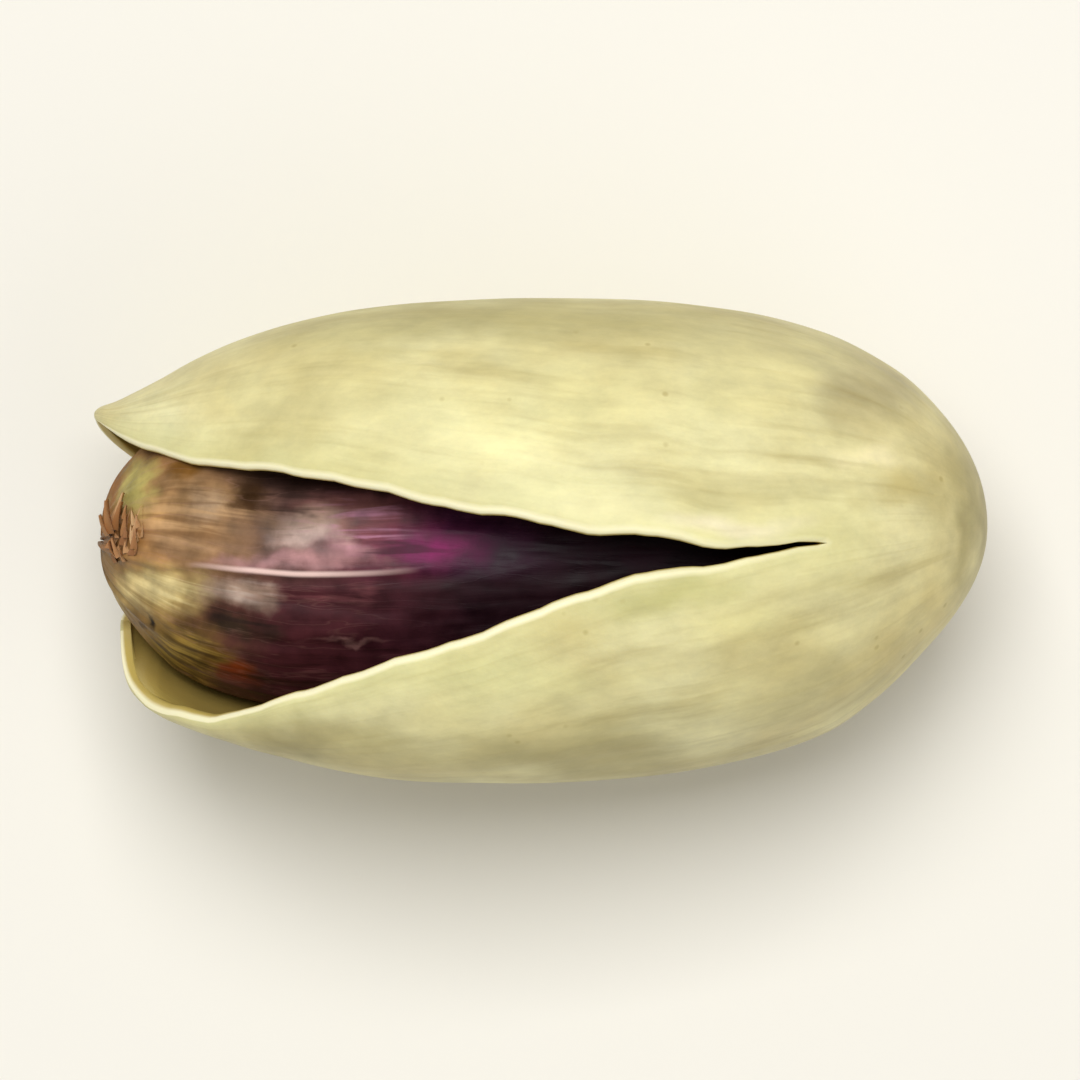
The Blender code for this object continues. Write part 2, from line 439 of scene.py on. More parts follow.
def split_sphere():
    """A unit sphere with its poles on X, cut open from the tip along the top and the bottom."""
    sphere = bmesh.new()
    bmesh.ops.create_uvsphere(sphere, u_segments=SEGMENTS, v_segments=RINGS, radius=1.0)
    bmesh.ops.rotate(sphere, verts=sphere.verts, matrix=Matrix.Rotation(math.pi / 2, 3, "Y"))
    top_end = math.cos(math.pi * TOP_SPLIT_RING / RINGS) + TOUCH
    bottom_end = math.cos(math.pi * BOTTOM_SPLIT_RING / RINGS) + TOUCH

    def on_split(vertex):
        end = top_end if vertex.co.z > 0 else bottom_end
        return abs(vertex.co.y) < TOUCH and vertex.co.x < end

    cut = [edge for edge in sphere.edges if all(on_split(vertex) for vertex in edge.verts)]
    bmesh.ops.split_edges(sphere, edges=cut)
    put_in_order(sphere.verts, lambda vertex: [*(round(c, 5) for c in vertex.co), side_of(vertex)])
    put_in_order(sphere.edges, lambda edge: sorted(vertex.index for vertex in edge.verts))
    return sphere


def split_gaps(share):
    """How far the far and the near valve's edge stand off the suture plane, on top and below."""
    top = through(FAR_TOP_GAP, share), through(NEAR_TOP_GAP, share)
    bottom = through(FAR_BOTTOM_GAP, share), through(NEAR_BOTTOM_GAP, share)
    return top, bottom


def lip_swell(share, gaps):
    """How far a rounded lip reaches into the split, in millimetres. The two lips never touch."""
    swell = np.clip(LIP_SWELL_OF_GAP * (gaps[0] + gaps[1]), 0, LIP_SWELL_MM)
    return swell * np.clip((1 - share) / LIP_SWELL_FADE, 0, 1)


def shell_outside(share, angle, side):
    """Points of the shell's outside in millimetres, about the middle of its length."""
    far = side > 0
    up = (1 + np.cos(angle)) / 2
    bulge = np.where(far, through(FAR_BULGE, share), through(NEAR_BULGE, share))
    top, bottom = split_gaps(share)
    top_gap = np.where(far, *top) + lip_swell(share, top)
    bottom_gap = np.where(far, *bottom) + lip_swell(share, bottom)
    mean, lean = (top_gap + bottom_gap) / 2, (top_gap - bottom_gap) / 2
    swell = np.sqrt(np.maximum((bulge - mean) ** 2 - lean**2, (0.25 * (bulge - mean)) ** 2))
    seam = ((top[0] - top[1]) * up + (bottom[0] - bottom[1]) * (1 - up)) / 2
    stand_off = np.sign(side) * (top_gap * up + bottom_gap * (1 - up))
    across = np.where(side == 0, seam, stand_off) + np.sign(side) * swell * np.sin(angle)
    across += STEM_BEND_MM * np.exp(-((share / STEM_BEND_SPAN) ** 2))
    keel = KEEL_MM * sum(np.exp(-((off / KEEL_WIDTH) ** 2)) for off in (angle, math.pi - angle))
    height = (HALF_HEIGHT_MM + keel) * outline(share, HEIGHT_FULLNESS)
    top_open, bottom_open = (
        np.clip((share - start) / (1 - start), 0, 1) ** 2 for start in (TOP_OPENS, BOTTOM_OPENS)
    )
    shorter = np.where(far, 0, NEAR_VALVE_SHORTER_MM * (top_open * up + bottom_open * (1 - up)))
    beside = np.exp(-((angle / CRACK_WIDTH) ** 2)) * smooth_step(*CRACK_STARTS, share)
    wander = CRACK_WANDER_MM * beside
    wander *= np.sin(41 * share) + 0.6 * np.sin(97 * share + 1) + 0.2 * np.sin(211 * share + 2)
    along = SHELL_LENGTH_MM * (0.5 - share) + shorter
    return np.stack([along, across + wander, height * np.cos(angle)], axis=1)


def pressed_flat(points, facing, depth, softness):
    """Presses flat what stands out furthest in a direction. Returns how far each point moved."""
    reach = points @ np.array(facing)
    level = reach.max() - depth
    over = softness * np.logaddexp(0, (reach - level) / softness)
    points -= np.outer(np.where(reach > level - 6 * softness, over, 0), np.array(facing))
    return over


def fitted(points, low, high, stretch=(1, 1, 1)):
    """Points in millimetres put in a box in metres, stretched to fill it on the axes marked 1."""
    start, end = points.min(0), points.max(0)
    low, high = np.array(low), np.array(high)
    scale = np.where(stretch, (high - low) / (end - start), MM)
    return np.where(stretch, (points - start) * scale + low, points * scale)


def along_rings(values, share, side, angle, strength):
    """The vertices' values, drawn to a smooth course from lip to lip on each ring of a valve."""
    smooth = values.copy()
    level = np.round(share, 5)
    for sign in (-1, 1):
        for ring_level in np.unique(level[(side == sign) & (strength > 0)]):
            ring = (side == sign) & (level == ring_level)
            if ring.sum() > 8:
                course = np.polynomial.polynomial.polyfit(angle[ring], values[ring], 3)
                smooth[ring] = np.polynomial.polynomial.polyval(angle[ring], course).T
    return values + strength[:, None] * (smooth - values)


def evened(values, ends, strength, rounds):
    """The vertices' values, each drawn to its neighbours' mean. ends are the edges' vertices."""
    count = np.bincount(ends.ravel(), minlength=len(values))[:, None]
    for _ in range(rounds):
        total = np.zeros_like(values)
        np.add.at(total, ends[:, 0], values[ends[:, 1]])
        np.add.at(total, ends[:, 1], values[ends[:, 0]])
        values = values + strength[:, None] * (total / count - values)
    return values


def make_shell_mesh(wall, lip):
    """The split shell: a closed mesh with a rounded lip, and attributes for relief and finish."""
    sphere = split_sphere()
    unit = np.array([vertex.co for vertex in sphere.verts])
    side = np.array([side_of(vertex) for vertex in sphere.verts])
    share = np.clip((1 - unit[:, 0]) / 2, 0, 1)
    angle = np.abs(np.arctan2(unit[:, 1], unit[:, 2]))
    angle[(share < POLE) | (share > 1 - POLE)] = math.pi / 2
    points = shell_outside(share, angle, side) @ LIE.T
    scar = smooth_step(*SCAR_RIM_MM, pressed_flat(points, SCAR_FACING, *SCAR_PRESS))
    pressed_flat(points, (0, 0, -1), *REST_PRESS)
    outside = fitted(points, *SHELL_BOX, stretch=(1, 0, 1))

    for vertex, place in zip(sphere.verts, outside):
        vertex.co = place
    sphere.normal_update()
    normal = np.array([vertex.normal for vertex in sphere.verts])

    bulge = np.where(side > 0, through(FAR_BULGE, share), through(NEAR_BULGE, share))
    reach = np.maximum(bulge, 0.5)
    to_top = np.hypot(angle * reach, np.maximum(0, TOP_SPLIT - share) * SHELL_LENGTH_MM)
    to_bottom = np.hypot(
        (math.pi - angle) * reach, np.maximum(0, BOTTOM_SPLIT - share) * SHELL_LENGTH_MM
    )
    from_split = np.minimum(to_top, to_bottom)
    lip = lip + (TIP_LIP_MM * MM - lip) * smooth_step(*THIN_LIP, share)
    wall = wall + (TIP_LIP_MM * MM - wall) * smooth_step(*THIN_WALL, share)
    thick = lip + (wall - lip) * smooth_step(0, WALL_BLEND_MM, from_split)
    tip = np.array([outside[(side == sign) & (share > 1 - POLE)][0] for sign in (-1, 1)])
    from_tip = np.linalg.norm(outside - tip[(side > 0).astype(int)], axis=1)
    thick = np.minimum(thick, TIP_EDGE_MM * MM + TIP_SLOPE * from_tip)
    offset = normal * thick[:, None]
    offset = along_rings(offset, share, side, angle, smooth_step(*SMOOTH_RINGS, share))
    ends = np.array([[vertex.index for vertex in edge.verts] for edge in sphere.edges])
    offset = evened(offset, ends, smooth_step(*SMOOTH_TIP, share), SMOOTHING_ROUNDS)
    inside = outside - offset

    count = len(sphere.verts)
    corners = ([vertex.index for vertex in face.verts] for face in sphere.faces)
    outer_faces = sorted(from_lowest(face) for face in corners)
    places = [*outside, *inside]
    depth = [0.0] * count + [1.0] * count
    source = list(range(count)) * 2
    faces = outer_faces + [[count + i for i in reversed(face)] for face in outer_faces]

    away = np.zeros((count, 3))
    rim_edges = []
    for edge in sphere.edges:
        if edge.is_boundary:
            loop = edge.link_loops[0]
            start, end = loop.vert.index, loop.link_loop_next.vert.index
            outwards = np.cross(outside[end] - outside[start], normal[start] + normal[end])
            outwards /= max(np.linalg.norm(outwards), 1e-12)
            away[start] += outwards
            away[end] += outwards
            rim_edges.append((start, end))
    sphere.free()

    top, bottom = split_gaps(share)
    reach_in = np.where(angle < math.pi / 2, lip_swell(share, top), lip_swell(share, bottom))
    rows = {}
    for i in {index for pair in rim_edges for index in pair}:
        # Where the two lips meet, they face each other and have no way out
        direction = away[i] / max(np.linalg.norm(away[i]), 1e-9)
        if np.linalg.norm(away[i]) < 0.5:
            direction = direction * 0
        middle, half = (outside[i] + inside[i]) / 2, (outside[i] - inside[i]) / 2
        swell = min(LIP_ROUNDNESS * np.linalg.norm(half), reach_in[i] * MM)
        rows[i] = [i]
        for row in range(1, LIP_ROWS):
            turn = math.pi * row / LIP_ROWS
            places.append(middle + math.cos(turn) * half + math.sin(turn) * swell * direction)
            depth.append((1 - math.cos(turn)) / 2)
            source.append(i)
            rows[i].append(len(places) - 1)
        rows[i].append(count + i)
    for start, end in rim_edges:
        for row in range(LIP_ROWS):
            faces.append(
                [rows[end][row], rows[start][row], rows[start][row + 1], rows[end][row + 1]]
            )

    mesh = bpy.data.meshes.new("shell_wall")
    mesh.from_pydata([tuple(place) for place in places], [], faces)
    mesh.validate()
    source = np.array(source)
    lay = np.stack([share, np.sign(side) * np.sin(angle), np.cos(angle)], axis=1)[source]
    attribute = mesh.attributes.new("lay", "FLOAT_VECTOR", "POINT")
    attribute.data.foreach_set("vector", lay.astype(np.float32).ravel())
    finish = np.array(depth), scar[source], np.clip(from_split, 0, 6)[source]
    for name, values in zip(SHELL_ATTRIBUTES, finish):
        attribute = mesh.attributes.new(name, "FLOAT", "POINT")
        attribute.data.foreach_set("value", values.astype(np.float32))
    return mesh


def shell_relief_tree():
    """Gives the shell's outside broad unevenness, lengthwise ribs, small boss and pitted scar."""
    tree, add, given = new_tree("shell_relief", {
        "Rib Height": 0.05 * MM, "Wave Height": 0.16 * MM,
    })
    lay = add("InputNamedAttribute FLOAT_VECTOR", {"Name": "lay"})
    depth, scar, from_split = (
        add("InputNamedAttribute FLOAT", {"Name": name}) for name in SHELL_ATTRIBUTES
    )
    share = add("SeparateXYZ", (lay,))
    place = add("InputPosition")

    # Broad unevenness about 5 mm across
    broad = add("TexNoise", {"Vector": place, "Scale": 0.19 / MM, "Detail": 1.0})
    broad = add("Math SUBTRACT", (broad, 0.5))
    height = add("Math MULTIPLY", (broad, given["Wave Height"]))

    # Soft ribs along the meridians, about 1 mm apart on the belly, stronger towards the stem end
    ribs = drawn_out(add, lay, (2.5, 6.0, 6.0), Detail=2.0)
    ribs = add("Math SUBTRACT", (ribs, 0.5))
    stem = add("MapRange", (share, 0.02, 0.12, 0.0, 2.0))
    belly = add("MapRange", (share, 0.2, 0.5, 1.0, 0.5))
    inland = add("MapRange SMOOTHSTEP", (from_split, 0.15, 1.2))
    for mask in (stem, belly, inland):
        ribs = add("Math MULTIPLY", (ribs, mask))
    ribs = add("Math MULTIPLY", (ribs, given["Rib Height"]))
    not_scar = add("MapRange", (scar, 0.0, 1.0, 1.0, 0.0))
    height = add("Math MULTIPLY_ADD", (ribs, not_scar, height))

    # A small boss with a dimple beside it on the far valve
    for middle, reach, rise in (
        ((0.615, 0.60, 0.80), 0.055, 0.10 * MM),
        ((0.638, 0.655, 0.755), 0.04, -0.08 * MM),
    ):
        near = spot(add, lay, middle, (2.4, 1.0, 1.0), (0.0, reach), rise)
        height = add("Math ADD", (height, near))

    # Corky pits about 0.25 mm across in the scar
    pits = add("TexVoronoi", {"Vector": place, "Scale": 3.6 / MM})
    pits = add("MapRange", (pits, 0.1, 0.6, -0.16 * MM, 0.05 * MM))
    height = add("Math MULTIPLY_ADD", (pits, scar, height))

    # Nothing on the inside, nor where the nut rests
    outer = add("MapRange", (depth, 0.0, 0.6, 1.0, 0.0))
    above = add("SeparateXYZ", (place,), out="Z")
    above = add("MapRange", (above, 0.02 * MM, 0.8 * MM))
    for mask in (outer, above):
        height = add("Math MULTIPLY", (height, mask))
    normal = add("InputNormal")
    offset = add("VectorMath SCALE", {0: normal, "Scale": height})
    moved = add("SetPosition", {0: given["Geometry"], "Offset": offset})
    close_tree(add, moved, given["Material"])
    return tree


# Tones of the shell's upper face: mostly the shell's own mottling, with painted shade and light
# among them. The dark patches along the outlines and at the stem end are painted shade, the darker
# patch at the far valve's left end is a painted shadow, and the pale band along the far valve's
# middle is painted light. Each gives place along X and Y, reach along X and Y, all in millimetres,
# then colour and strength
SHELL_TONES_LIGHT_AND_SHADE = (
    (-0.3, 2.6, 4.6, 1.3, "#f0ebae", 0.5), (-1.0, 1.2, 3.5, 0.6, "#d8d298", 0.5),
    (3.4, 1.6, 2.4, 0.8, "#eae3a8", 0.35), (-5.0, 3.1, 2.4, 1.2, "#d6cd94", 0.5),
    (-0.5, 5.1, 7.0, 1.0, "#ab9f60", 0.8), (7.6, 3.4, 1.2, 1.0, "#a3966b", 0.7),
    (5.9, 4.3, 2.2, 0.5, "#b5aa76", 0.5), (7.7, 2.05, 1.0, 0.35, "#f0e4b4", 0.7),
    (8.2, 1.25, 0.9, 0.5, "#b09f5f", 0.65), (9.0, 0.3, 0.9, 0.7, "#d9cd95", 0.5),
    (4.2, 0.35, 1.5, 0.28, "#f0e3c4", 0.8), (2.6, -1.3, 1.9, 0.4, "#b9b36c", 0.7),
    (4.5, -2.1, 1.6, 0.5, "#e6df9c", 0.5), (-0.8, -3.3, 2.6, 0.7, "#dfdd9e", 0.5),
    (6.4, -3.2, 2.0, 0.8, "#b7ab74", 0.5), (-5.4, -4.6, 2.4, 0.5, "#8c7d48", 0.7),
    (10.0, 0.6, 0.8, 2.6, "#988b52", 0.75), (1.5, -5.1, 6.0, 0.7, "#a3965a", 0.75),
)


def shell_material(look):
    """Pistachio shell: the hard woody stone of the fruit, dried and roasted.

    Satin cream with a green-yellow cast, fine fibre streaks along the nut, a paler split edge,
    a smoother darker inside and a corky scar. Painted shade lies along the outlines and deep in
    the hollow, and painted light lies along the far valve's middle.
    """
    material, add = new_material("dried woody pistachio shell")
    lay = add("Attribute", out="Vector", attribute_name="lay")
    depth, scar, from_split = (
        add("Attribute", out="Fac", attribute_name=name) for name in SHELL_ATTRIBUTES
    )
    share = add("SeparateXYZ", (lay,))
    place = add("TexCoord", out="Object")

    # Clouds of paler and warmer colour, 3 to 4 mm across
    clouds = add("TexNoise", {"Vector": place, "Scale": 0.26 / MM, "Detail": 3.0})
    warm = add("TexNoise", {"Vector": place, "Scale": 0.42 / MM, "Detail": 2.0})
    pale = add("MapRange", (clouds, 0.42, 0.68))
    colour = add("Mix RGBA", {0: pale, 6: look.cream, 7: look.pale}, out=2)
    stem = add("MapRange", (share, 0.0, 0.38, 0.32, 0.0))
    tan = add("MapRange", (warm, 0.45, 0.75, 0.0, 0.55))
    tan = add("Math ADD", (tan, stem))
    colour = add("Mix RGBA", {0: tan, 6: colour, 7: look.tan}, out=2)

    # The tones of the upper face, with painted shade and light among them, with edges that wander
    # by about 1 mm
    spread = wandering(add, place, 0.35 / MM, 3.0, (5.0 * MM, 2.0 * MM, 0.0))
    height = add("SeparateXYZ", (lay,), out="Z")
    top = add("MapRange", (height, -0.2, 0.2))
    colour = patched(add, colour, spread, SHELL_TONES_LIGHT_AND_SHADE, top, soft=(0.0, 1.45))

    # Fibre streaks along the meridians, 0.4 to 0.9 mm wide and a few mm long, in patches
    wide = drawn_out(add, lay, (5.0, 7.0, 7.0), Detail=3.0)
    fine = drawn_out(add, lay, (7.0, 22.0, 22.0), Detail=2.0)
    streaks = add("MapRange SMOOTHSTEP", (wide, 0.47, 0.8, 0.0, 0.5))
    threads = add("MapRange SMOOTHSTEP", (fine, 0.48, 0.85, 0.0, 0.25))
    streaks = add("Math ADD", (streaks, threads))
    off_pole = add("MapRange", (share, 0.01, 0.09))
    more = add("MapRange", (share, 0.1, 0.5, 1.0, 0.7))
    for mask in (off_pole, more):
        streaks = add("Math MULTIPLY", (streaks, mask))
    colour = add("Mix RGBA", {0: streaks, 6: colour, 7: look.streak}, out=2)

    # Cloudy mottling about 1 mm across, and finer
    mottle = drawn_out(add, place, (0.55, 1.0, 1.0), Scale=1.1 / MM, Detail=6.0, Roughness=0.68)
    tone = add("MapRange", (mottle, 0.3, 0.7, 0.78, 1.03))
    colour = add("VectorMath SCALE", {0: colour, "Scale": tone})

    # Sparse tiny specks
    specks = add("TexVoronoi", {"Vector": place, "Scale": 1.3 / MM})
    specks = add("MapRange", (specks, 0.05, 0.12, 0.5, 0.0))
    rare = add("MapRange", (warm, 0.5, 0.6))
    specks = add("Math MULTIPLY", (specks, rare))

    # Green tint within 1.5 mm of the split, then the pale edge itself
    green = add("MapRange", (from_split, 0.1, 1.6, 0.45, 0.0))
    green = add("Math MULTIPLY", (green, clouds))
    edge = add("MapRange", (from_split, 0.02, 0.14, 0.85, 0.0))
    open_end = add("MapRange", (share, 0.15, 0.5, 0.25, 1.0))
    edge = add("Math MULTIPLY", (edge, open_end))

    # Corky scar: darker pits and a dirty margin
    cork = add("TexVoronoi", {"Vector": place, "Scale": 3.6 / MM})
    cork = add(
        "ValToRGB", (cork,), stops=((0.05, "#5e4526"), (0.4, look.cork), (0.8, "#e6d8b4"))
    )
    margin = add("ValToRGB", (scar,), stops=((0.0, 0), (0.3, 0.7), (0.8, 0)))

    # The smooth inside, darker further from the split: painted shade deep in the hollow
    inner = add("MapRange", (depth, 0.1, 0.32))
    hollow_shade = add("MapRange", (from_split, 0.5, 4.5, 0.0, 0.7))
    lining = add("Mix RGBA", {0: hollow_shade, 6: look.inside, 7: "#7d6630"}, out=2)
    for cover, layer in (
        (specks, look.streak), (green, look.green), (edge, look.edge), (scar, cork),
        (margin, "#6f5330"), (inner, lining),
    ):
        colour = add("Mix RGBA", {0: cover, 6: colour, 7: layer}, out=2)

    # Fine tooth of the surface, 0.15 mm grain, and the fibres
    grain = add("TexNoise", {"Vector": place, "Scale": 6.5 / MM, "Detail": 2.0})
    relief = add("Math MULTIPLY_ADD", (grain, 0.35, fine))
    bump = add("Bump", {"Strength": 0.35, "Distance": 0.03 * MM, "Height": relief})
    rough = add("MapRange", (clouds, 0.3, 0.7, 0.42, 0.58))
    shader = add("BsdfPrincipled", {
        "Base Color": colour, "Roughness": rough, "Normal": bump, "IOR": 1.5,
        "Subsurface Weight": 0.12, "Subsurface Radius": (1.0, 0.75, 0.4),
        "Subsurface Scale": 0.5 * MM,
    })
    add("OutputMaterial", (shader,), out=None)
    return material


class PISTACHIO_OT_shell(bpy.types.Operator):
    """Build the split shell"""

    bl_idname = "pistachio.shell"
    bl_label = "Shell"

    def execute(self, context):
        look = context.scene.pistachio_shell
        shell = linked_object("split_shell", make_shell_mesh(look.wall, look.lip))
        grown(shell, shell_relief_tree(), {
            "Rib Height": look.rib_height, "Wave Height": look.wave_height,
            "Material": shell_material(look),
        })
        finish_piece(shell, "shell")
        return {"FINISHED"}


# --- the kernel ---


def kernel_tree():
    """Grows the kernel from a sphere: outline, ridge on top, lengthwise folds and fine veins."""
    tree, add, given = new_tree("kernel_form", {
        "Length": 16.8 * MM, "Half Width": 3.3 * MM, "Half Height": 3.5 * MM,
        "Ridge Height": 0.12 * MM, "Fold Height": 0.1 * MM, "Vein Height": 0.035 * MM,
    })
    ball = add("MeshUVSphere", {"Segments": 256, "Rings": 150, "Radius": 1.0}, out="Mesh")
    ball = add("Transform", {0: ball, "Rotation": (0.0, math.radians(90), 0.0)})
    unit = add("InputPosition")
    part = add("SeparateXYZ", (unit,), out=None).outputs
    share = add("MapRange", (part[0], 1.0, -1.0))
    turn = add("Math ARCCOSINE", (part[0],))
    turn = add("Math DIVIDE", (turn, math.pi))
    wide = add("FloatCurve", {"Value": turn}, knots=KERNEL_WIDTH)
    tall = add("FloatCurve", {"Value": turn}, knots=KERNEL_TOP)
    around = add("CombineXYZ", {1: part[1], 2: part[2]})
    around = add("VectorMath NORMALIZE", (around,))
    heading = add("SeparateXYZ", (around,), out=None).outputs
    lay = add("CombineXYZ", (share, heading[1], heading[2]))
    stored = add("StoreNamedAttribute FLOAT_VECTOR", {0: ball, "Name": "lay", "Value": lay})
    x = add("Math SUBTRACT", (0.5, share))
    x = add("Math MULTIPLY", (x, given["Length"]))
    # Narrower below than above
    narrow = add("MapRange", (heading[2], -1.0, 0.0, 0.76, 1.0))
    y = add("Math MULTIPLY", (wide, heading[1]))
    y = add("Math MULTIPLY", (y, narrow))
    bend = add("MapRange SMOOTHSTEP", (share, 0.72, 0.98, 0.0, 0.18))
    y = add("Math ADD", (y, bend))
    y = add("Math MULTIPLY", (y, given["Half Width"]))
    z = add("Math MULTIPLY", (tall, heading[2]))
    z = add("Math MULTIPLY", (z, given["Half Height"]))
    form = add("CombineXYZ", (x, y, z))
    body = add("SetPosition", {0: stored, "Position": form})

    lay = add("InputNamedAttribute FLOAT_VECTOR", {"Name": "lay"})
    part = add("SeparateXYZ", (lay,), out=None).outputs
    # The ridge runs along the top, a little to the near side, and fades towards the stem end
    course = add("FloatCurve", {"Value": part[0]}, knots=RIDGE_COURSE)
    aside = add("Math MULTIPLY_ADD", (course, 0.2, part[1]))
    on_top = add("Math LESS_THAN", (part[2], 0.0))
    aside = add("Math ADD", (aside, on_top))
    body = add("StoreNamedAttribute FLOAT", {0: body, "Name": "aside", "Value": aside})
    aside = add("InputNamedAttribute FLOAT", {"Name": "aside"})
    aside = add("Math ABSOLUTE", (aside,))
    ridge = add("MapRange SMOOTHSTEP", (aside, 0.0, 0.06, 1.0, 0.0))
    fade = add("MapRange", (part[0], 0.45, 0.65))
    ridge = add("Math MULTIPLY", (ridge, fade))
    height = add("Math MULTIPLY", (ridge, given["Ridge Height"]))

    # Folds about 1.2 mm apart, and veins about 0.3 mm apart, both running lengthwise
    for pace, amount in (((3.0, 3.2, 3.2), "Fold Height"), ((5.0, 10.0, 10.0), "Vein Height")):
        wave = drawn_out(add, lay, pace, Detail=2.0, Distortion=0.6)
        wave = add("MapRange", (wave, 0.25, 0.75, -1.0, 1.0))
        height = add("Math MULTIPLY_ADD", (wave, given[amount], height))
    normal = add("InputNormal")
    offset = add("VectorMath SCALE", {0: normal, "Scale": height})
    moved = add("SetPosition", {0: body, "Offset": offset})
    close_tree(add, moved, given["Material"])
    return tree


# Patches of the skin as they lie on its upper face, mostly its own colours. The long dark band
# along the far lip at Y 1.3 is a painted shadow, and the thin pale line at Y -2.3 and the whitish
# spot at X -5.2 are painted highlights. Each gives place along X and Y, reach along X and Y, all
# in millimetres, then colour and strength
SKIN_TONES_LIGHT_AND_SHADE = (
    (-4.4, 0.55, 2.0, 0.7, "#6a4440", 0.85), (-3.4, 0.1, 1.4, 0.5, "#783e48", 0.8),
    (-3.5, -0.55, 0.9, 0.25, "#562530", 0.8), (-2.5, -0.15, 1.5, 0.6, "#642246", 0.95),
    (-2.4, -0.15, 0.8, 0.35, "#80245a", 0.8), (-4.6, 1.3, 2.8, 0.4, "#2a1a16", 0.9),
    (-5.3, 0.35, 1.1, 0.45, "#927b6b", 0.85), (-5.2, 0.0, 0.9, 0.35, "#c4aaa0", 0.8),
    (-4.3, -0.2, 0.7, 0.25, "#b08084", 0.7), (-5.6, -0.5, 2.2, 0.22, "#ac8080", 0.85),
    (-7.8, 0.75, 1.2, 0.9, "#977650", 0.95), (-8.6, 0.7, 0.45, 0.4, "#b78f5c", 0.7),
    (-7.6, 0.75, 0.5, 0.45, "#ac9072", 0.75), (-8.15, 1.5, 0.5, 0.3, "#744e1c", 0.9),
    (-6.6, 0.9, 0.6, 0.6, "#38230f", 1.0), (-6.2, 0.4, 0.45, 0.3, "#6b513c", 0.8),
    (-7.7, -0.15, 1.3, 0.35, "#92704f", 0.85), (-9.15, 1.25, 0.5, 0.75, "#aa9d5a", 1.0),
    (-9.5, 0.3, 0.6, 0.5, "#8a6030", 0.95), (-9.1, -0.35, 0.8, 0.35, "#a67c4c", 0.9),
    (-8.6, -1.15, 1.3, 0.65, "#bda66c", 1.0), (-8.8, -1.1, 0.7, 0.4, "#cdb982", 0.85),
    (-6.8, -1.15, 1.0, 0.35, "#9a8270", 0.9), (-6.3, -1.45, 0.4, 0.2, "#94806e", 0.4),
    (-7.0, -1.9, 0.5, 0.35, "#332419", 1.0), (-6.1, -1.95, 0.5, 0.3, "#3d2722", 0.9),
    (-8.2, -2.55, 1.2, 0.8, "#7d6228", 1.0), (-8.7, -2.7, 0.6, 0.3, "#8c7430", 0.8),
    (-7.4, -2.7, 0.5, 0.3, "#5e4012", 0.8), (-6.85, -2.95, 0.5, 0.35, "#742f0c", 0.95),
    (-4.3, -2.3, 1.0, 0.08, "#87605c", 0.6), (-8.93, -1.87, 0.2, 0.16, "#1d1305", 1.0),
)
# Where lighter and darker fibres show, laid out in the same way
LIGHT_FIBRES = (
    (-4.1, 0.35, 1.8, 0.7, "#a8748a", 0.7), (-7.9, 0.5, 1.5, 0.9, "#ba946a", 0.65),
    (-8.6, -1.2, 1.2, 0.6, "#d6c48e", 0.7), (-6.6, -1.15, 1.0, 0.4, "#b4a49a", 0.4),
    (-8.2, -2.6, 1.2, 0.8, "#b0903f", 0.6), (-4.6, -1.4, 1.8, 0.5, "#6c3c40", 0.6),
)
DARK_FIBRES = (
    (-8.0, 0.6, 1.5, 1.0, "#5c3a1c", 0.5), (-5.6, 0.7, 1.2, 0.8, "#32211c", 0.7),
    (-6.6, -1.6, 1.1, 0.6, "#2a1c18", 0.7), (-3.2, -0.1, 1.6, 0.7, "#38121f", 0.7),
    (-8.6, -1.3, 1.2, 0.6, "#806636", 0.6),
)
# Where dark lines run lengthwise, 0.25 mm apart
DARK_LINES = ((-8.1, -2.65, 1.2, 0.75, "#3c2a0a", 0.8),)


